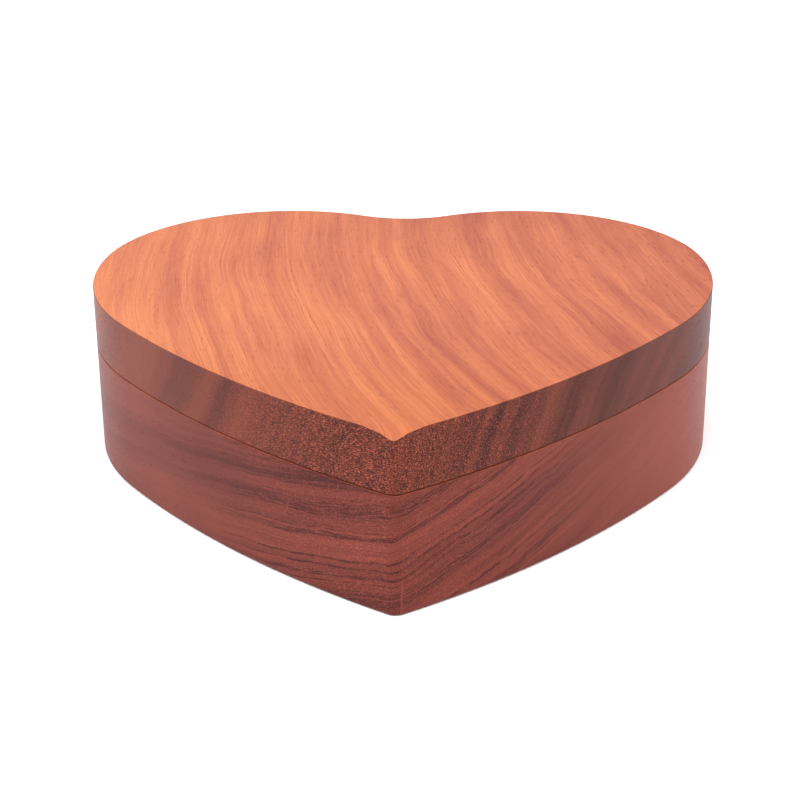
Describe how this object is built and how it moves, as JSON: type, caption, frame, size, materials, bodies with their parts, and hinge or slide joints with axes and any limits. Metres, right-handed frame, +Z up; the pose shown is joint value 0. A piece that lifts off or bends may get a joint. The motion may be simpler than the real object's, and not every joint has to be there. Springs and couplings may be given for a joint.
{
  "type": "music box",
  "caption": "Heart-shaped wooden music box: hinged lid, wind-up pinned-cylinder movement with comb and fan governor, winding key in the underside.",
  "frame": {"origin": "centre of the bounding box at the bottom face", "axes": "+X to the right across the lobes of the heart, +Y from its tip to its cleft and the hinges, +Z up"},
  "size_m": [0.145, 0.1408, 0.04],
  "materials": {
    "base_wood": "satin, dark red-brown hardwood",
    "lid_wood": "satin, orange-brown hardwood with streaky grain",
    "inner_wood": "sanded, unpolished hardwood",
    "hinge_brass": "polished and lacquered",
    "steel": "ground and nickel plated",
    "spring_steel": "blue-grey tempered",
    "magnet": "nickel plated",
    "bed_metal": "cast and gold-lacquered",
    "movement_brass": "turned and polished",
    "gear_nylon": "moulded, natural white",
    "key_metal": "cast and plated"
  },
  "bodies": {
    "case": {"base": "base_wood", "partition": "inner_wood", "base_magnet": "magnet", "hinge_base_leaf_left": "hinge_brass", "hinge_base_leaf_right": "hinge_brass", "hinge_pin_left": "steel", "hinge_pin_right": "steel", "hinge_base_screw_left_1": "hinge_brass", "hinge_base_screw_left_2": "hinge_brass", "hinge_base_screw_right_1": "hinge_brass", "hinge_base_screw_right_2": "hinge_brass", "bedplate": "bed_metal", "comb": "steel", "comb_screw_1": "movement_brass", "comb_screw_2": "movement_brass", "barrel_bridge": "bed_metal", "bridge_screw_1": "steel", "bridge_screw_2": "steel", "governor_frame": "bed_metal", "governor_screw_1": "steel", "governor_screw_2": "steel", "click_screw": "steel", "click_spring": "spring_steel", "click_spring_screw": "steel", "stop_lever_screw": "steel", "mounting_screw_1": "steel", "mounting_screw_2": "steel", "mounting_screw_3": "steel"},
    "lid": {"lid": "lid_wood", "lid_magnet": "magnet", "hinge_lid_leaf_left": "hinge_brass", "hinge_lid_leaf_right": "hinge_brass", "hinge_lid_screw_left_1": "hinge_brass", "hinge_lid_screw_left_2": "hinge_brass", "hinge_lid_screw_right_1": "hinge_brass", "hinge_lid_screw_right_2": "hinge_brass"},
    "key": {"winding_key": "key_metal", "winding_arbor": "steel", "ratchet_wheel": "steel"},
    "click": {"click": "steel"},
    "barrel": {"spring_barrel": "movement_brass", "mainspring": "spring_steel"},
    "cylinder": {"pinned_cylinder": "movement_brass", "cylinder_shaft": "steel", "cylinder_gear": "gear_nylon", "cylinder_pinion": "gear_nylon"},
    "first_wheel": {"first_governor_arbor": "steel", "first_governor_pinion": "movement_brass", "first_governor_wheel": "movement_brass"},
    "second_wheel": {"second_governor_arbor": "steel", "second_governor_pinion": "movement_brass", "worm_wheel": "gear_nylon"},
    "fan": {"worm_shaft": "steel", "governor_fan": "movement_brass"},
    "stop_lever": {"stop_lever": "spring_steel"}
  },
  "joints": [
    {"name": "lid_hinge", "type": "hinge", "parent": "case", "child": "lid", "pos_m": [0, 0.0688, 0.02665], "axis": [-1, 0, 0], "range_deg": [0, 95]},
    {"name": "key_turn", "type": "hinge", "parent": "case", "child": "key", "pos_m": [0, 0.006, 0.0126], "axis": [0, 0, 1], "continuous": true},
    {"name": "click_lift", "type": "hinge", "parent": "case", "child": "click", "pos_m": [-0.0026, 0.0136, 0.0296], "axis": [0, 0, 1], "range_deg": [0, 6], "stiffness_Nm_per_rad": 0.00002},
    {"name": "cylinder_turn", "type": "hinge", "parent": "case", "child": "cylinder", "pos_m": [0, 0.006, 0.0226], "axis": [1, 0, 0], "continuous": true},
    {"name": "barrel_turn", "type": "hinge", "parent": "case", "child": "barrel", "pos_m": [0, 0.006, 0.0126], "axis": [0, 0, 1], "continuous": true},
    {"name": "first_wheel_turn", "type": "hinge", "parent": "case", "child": "first_wheel", "pos_m": [0, 0.01373, 0.02467], "axis": [1, 0, 0], "continuous": true},
    {"name": "second_wheel_turn", "type": "hinge", "parent": "case", "child": "second_wheel", "pos_m": [0, 0.01614, 0.01951], "axis": [1, 0, 0], "continuous": true},
    {"name": "fan_turn", "type": "hinge", "parent": "case", "child": "fan", "pos_m": [-0.0304, 0.02034, 0.0126], "axis": [0, 0, 1], "continuous": true},
    {"name": "stop_lever_pivot", "type": "hinge", "parent": "case", "child": "stop_lever", "pos_m": [-0.0195, 0.0235, 0.0278], "axis": [0, -1, 0], "range_deg": [0, 11]}
  ],
  "couplings": [
    {"joint": "barrel_turn", "follows": "cylinder_turn", "ratio": -0.44444},
    {"joint": "first_wheel_turn", "follows": "cylinder_turn", "ratio": -4},
    {"joint": "second_wheel_turn", "follows": "cylinder_turn", "ratio": 15},
    {"joint": "fan_turn", "follows": "cylinder_turn", "ratio": -360},
    {"joint": "stop_lever_pivot", "follows": "lid_hinge", "ratio": 0.11579}
  ]
}
